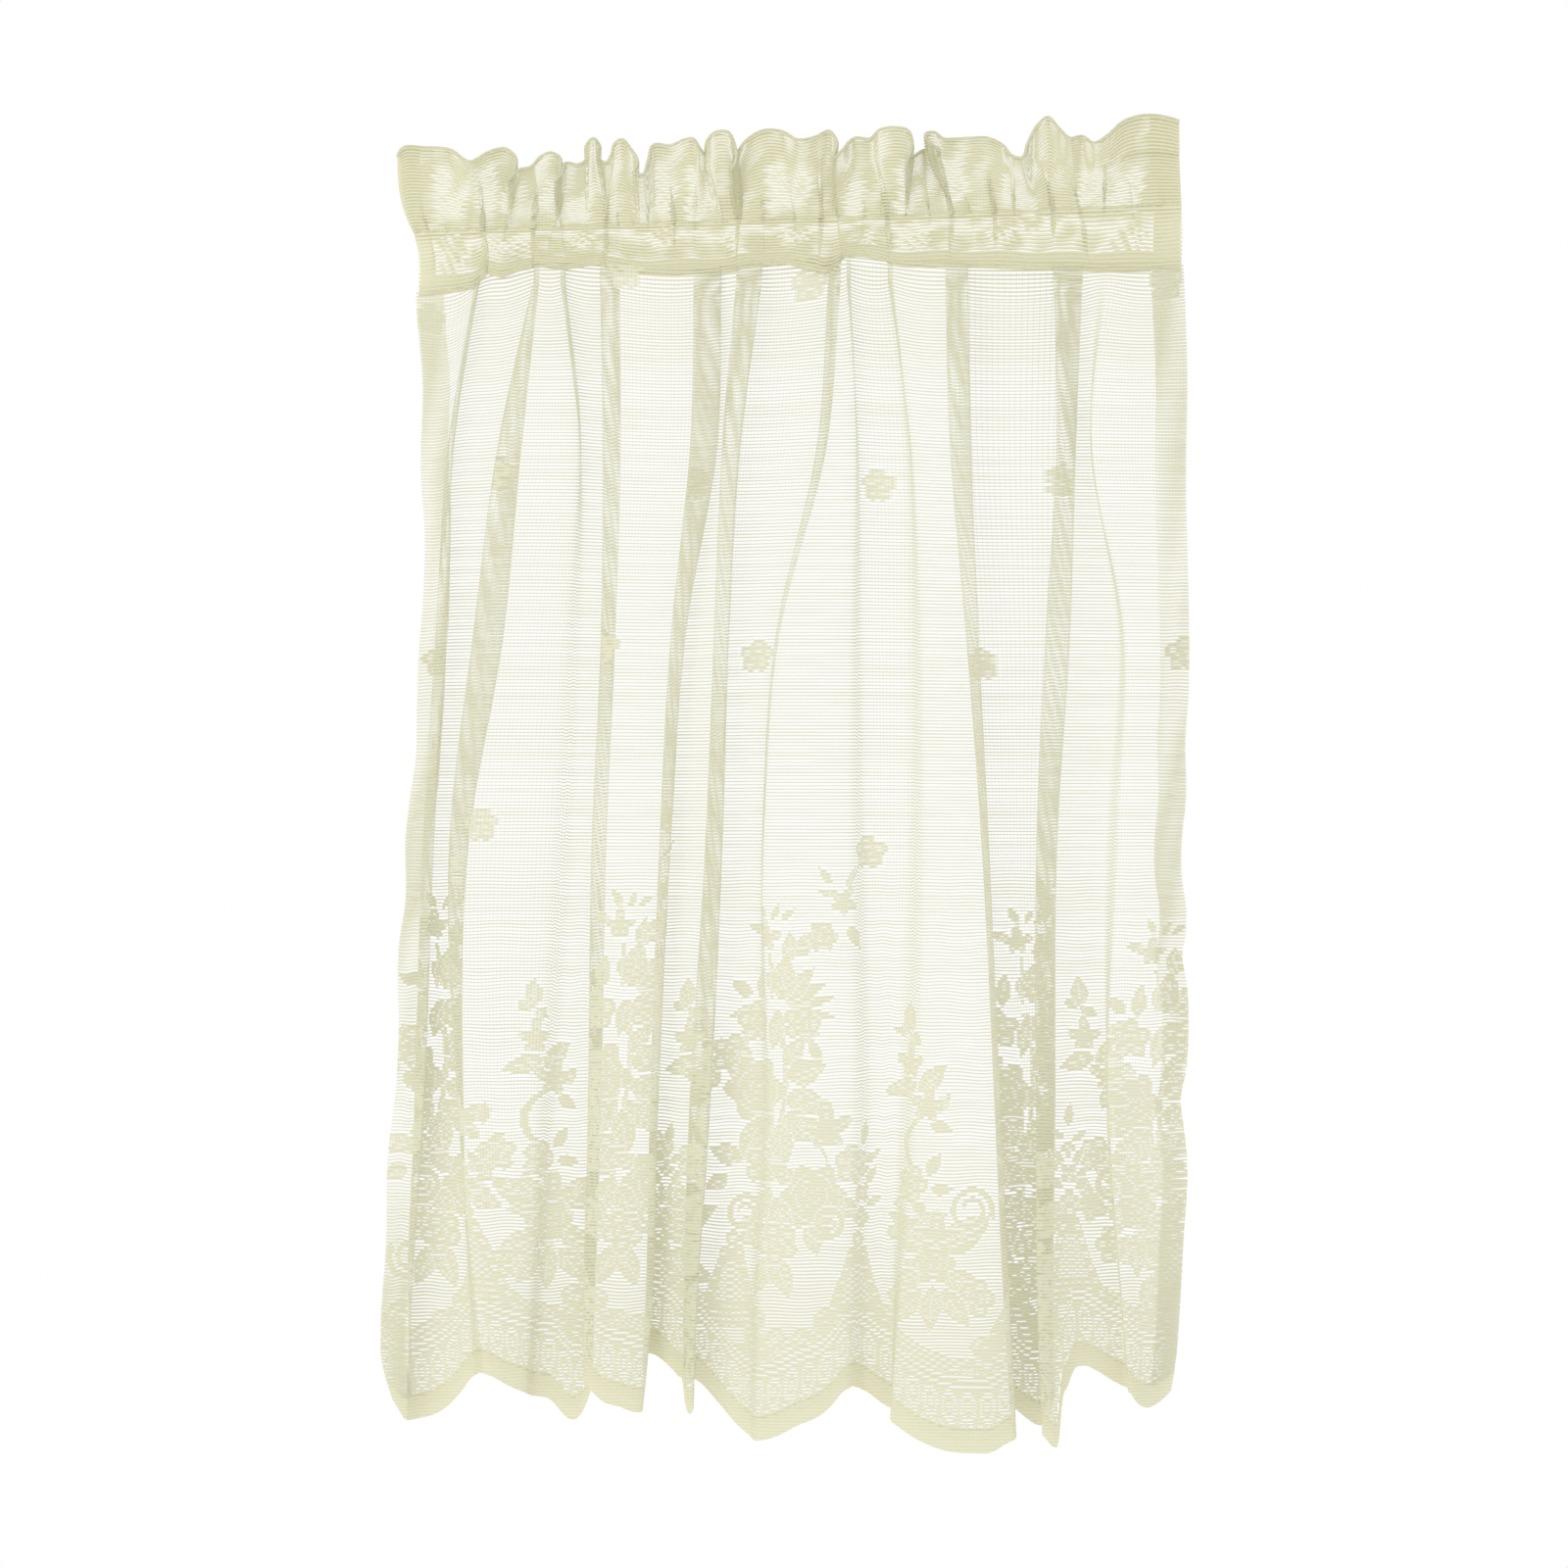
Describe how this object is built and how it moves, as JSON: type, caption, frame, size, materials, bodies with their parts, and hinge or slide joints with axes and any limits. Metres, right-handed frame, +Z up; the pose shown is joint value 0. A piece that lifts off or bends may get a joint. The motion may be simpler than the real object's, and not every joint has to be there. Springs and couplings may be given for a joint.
{
  "type": "lace tier curtain panel",
  "caption": "Sheer ivory lace curtain panel with a ruffled heading, an open rod pocket, long uneven folds and a scalloped floral hem, hung by its top edge.",
  "frame": {"origin": "the middle of the ruffle's top edge, where the hanging panel is held", "axes": "+Z up the hanging cloth, +X across it to the right as seen from the room, +Y away from the room"},
  "size_m": [0.4653, 0.03, 0.7654],
  "materials": {
    "lace": "knitted ivory lace net with solid floral figures and a dense scalloped border",
    "heading_lace": "the same ivory net, doubled and gathered, with a dense turned-in hem at the pocket's seam"
  },
  "bodies": {
    "root": {"lace_panel": "lace", "heading": "heading_lace"}
  },
  "joints": []
}
